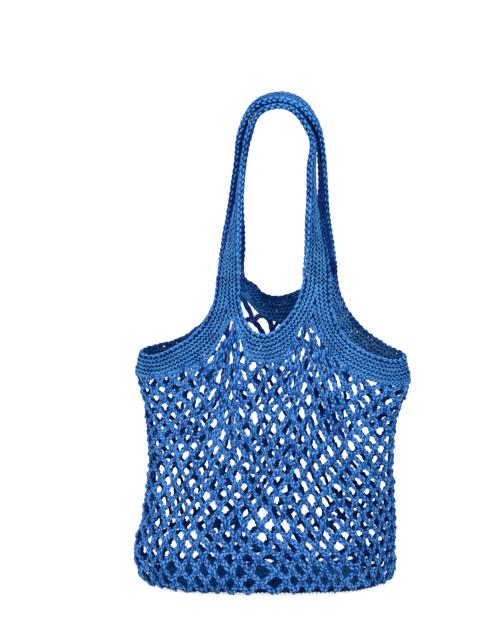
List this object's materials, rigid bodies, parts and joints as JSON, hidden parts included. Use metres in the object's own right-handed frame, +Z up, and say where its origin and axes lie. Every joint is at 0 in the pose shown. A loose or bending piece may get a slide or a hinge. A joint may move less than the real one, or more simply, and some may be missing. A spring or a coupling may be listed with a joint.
{
  "type": "tote bag",
  "caption": "Soft open-net crocheted tote bag with an oval base, a dense mouth band and two shoulder straps that rise over one another to a common top.",
  "frame": {"origin": "the hang point: underside of the inner strap where both straps cross their highest point, midway through the bag's depth", "axes": "+Z up along the hanging bag, +X to the right seen from the front, front face towards -Y"},
  "size_m": [0.3614, 0.1464, 0.6437],
  "materials": {
    "base_cotton": "matt crocheted cotton yarn, close stitches",
    "net_cotton": "matt plied cotton yarn, open chain net",
    "band_cotton": "matt crocheted cotton yarn, close ribbed rows",
    "strap_cotton": "matt crocheted cotton yarn, rows along the strap"
  },
  "bodies": {
    "root": {"base": "base_cotton", "net_body": "net_cotton", "mouth_band": "band_cotton", "strap_front": "strap_cotton", "strap_back": "strap_cotton"}
  },
  "joints": []
}
